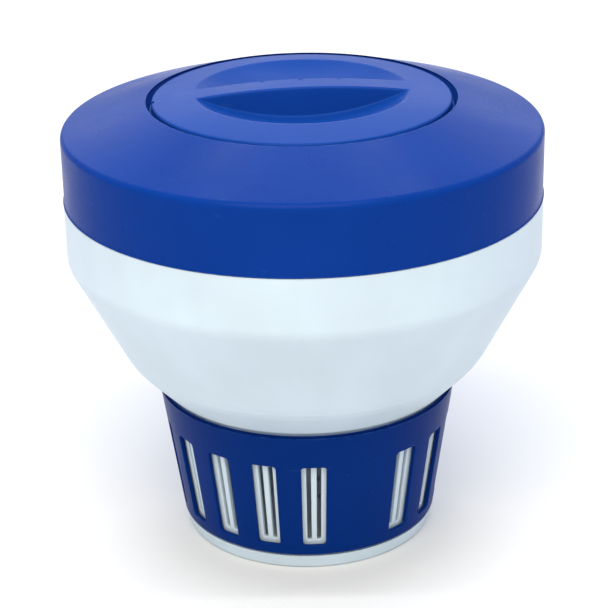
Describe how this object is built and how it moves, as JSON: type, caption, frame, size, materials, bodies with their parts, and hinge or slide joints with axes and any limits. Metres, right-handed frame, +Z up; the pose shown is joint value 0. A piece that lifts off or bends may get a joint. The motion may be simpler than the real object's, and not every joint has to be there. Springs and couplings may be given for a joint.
{
  "type": "floating chlorine dispenser",
  "caption": "Pool float with a twist-off domed lid, a tapered tablet basket below it and a turning windowed sleeve that meters how fast the tablets dissolve.",
  "frame": {"origin": "centre of the round foot, on the surface that the dispenser stands on", "axes": "+Z up along the axis of the float, -Y towards the side with the windows at the front, +X to the right"},
  "size_m": [0.19, 0.19, 0.1863],
  "materials": {
    "lid_blue": "semi-gloss moulded plastic",
    "deck_blue": "semi-gloss moulded plastic",
    "sleeve_blue": "satin moulded plastic",
    "body_white": "satin moulded plastic",
    "well_white": "unpolished moulded plastic",
    "seal_rubber": "smooth rubber",
    "ballast_steel": "rolled stainless plate"
  },
  "bodies": {
    "float": {"deck_ring": "deck_blue", "rim_seal": "seal_rubber", "float_bowl": "body_white", "tablet_well": "well_white", "well_seal_upper": "seal_rubber", "well_seal_lower": "seal_rubber", "basket": "body_white", "base_cap": "body_white", "ballast_ring": "ballast_steel"},
    "sleeve": {"dosing_sleeve": "sleeve_blue"},
    "seal": {"lid_seal": "seal_rubber"},
    "lid": {"lid": "lid_blue"}
  },
  "joints": [
    {"name": "sleeve_turn", "type": "hinge", "parent": "float", "child": "sleeve", "pos_m": [0, 0, 0.035], "axis": [0, 0, 1], "range_deg": [0, 10]},
    {"name": "lid_lift", "type": "slide", "parent": "float", "child": "seal", "axis": [0, 0, 1], "range_m": [0, 0.09]},
    {"name": "lid_turn", "type": "hinge", "parent": "seal", "child": "lid", "pos_m": [0, 0, 0.176], "axis": [0, 0, 1], "range_deg": [0, 60]}
  ]
}
